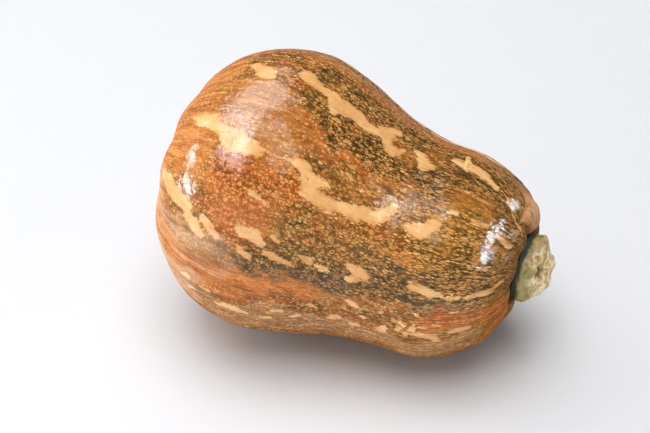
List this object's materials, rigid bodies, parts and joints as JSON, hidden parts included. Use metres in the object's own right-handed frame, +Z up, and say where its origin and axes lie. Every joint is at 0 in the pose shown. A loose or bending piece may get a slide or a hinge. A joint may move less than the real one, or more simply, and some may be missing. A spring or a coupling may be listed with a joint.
{
  "type": "kabocha squash",
  "caption": "Whole pear-shaped winter squash with mottled orange and dark green skin, shallow ribs and a short cut stem, lying on its side.",
  "frame": {"origin": "under the middle of the whole squash, on the surface it lies on", "axes": "+Z up, +X towards the stem end, -Y the front of the squash as it lies"},
  "size_m": [0.203, 0.147, 0.1452],
  "materials": {
    "skin": "waxy, fairly glossy natural skin, burnt orange mottled with dark green and tan",
    "stem": "dry corky stem, pale cream-green on the cut and dark green at the foot"
  },
  "bodies": {
    "root": {"fruit": "skin", "stem": "stem"}
  },
  "joints": []
}
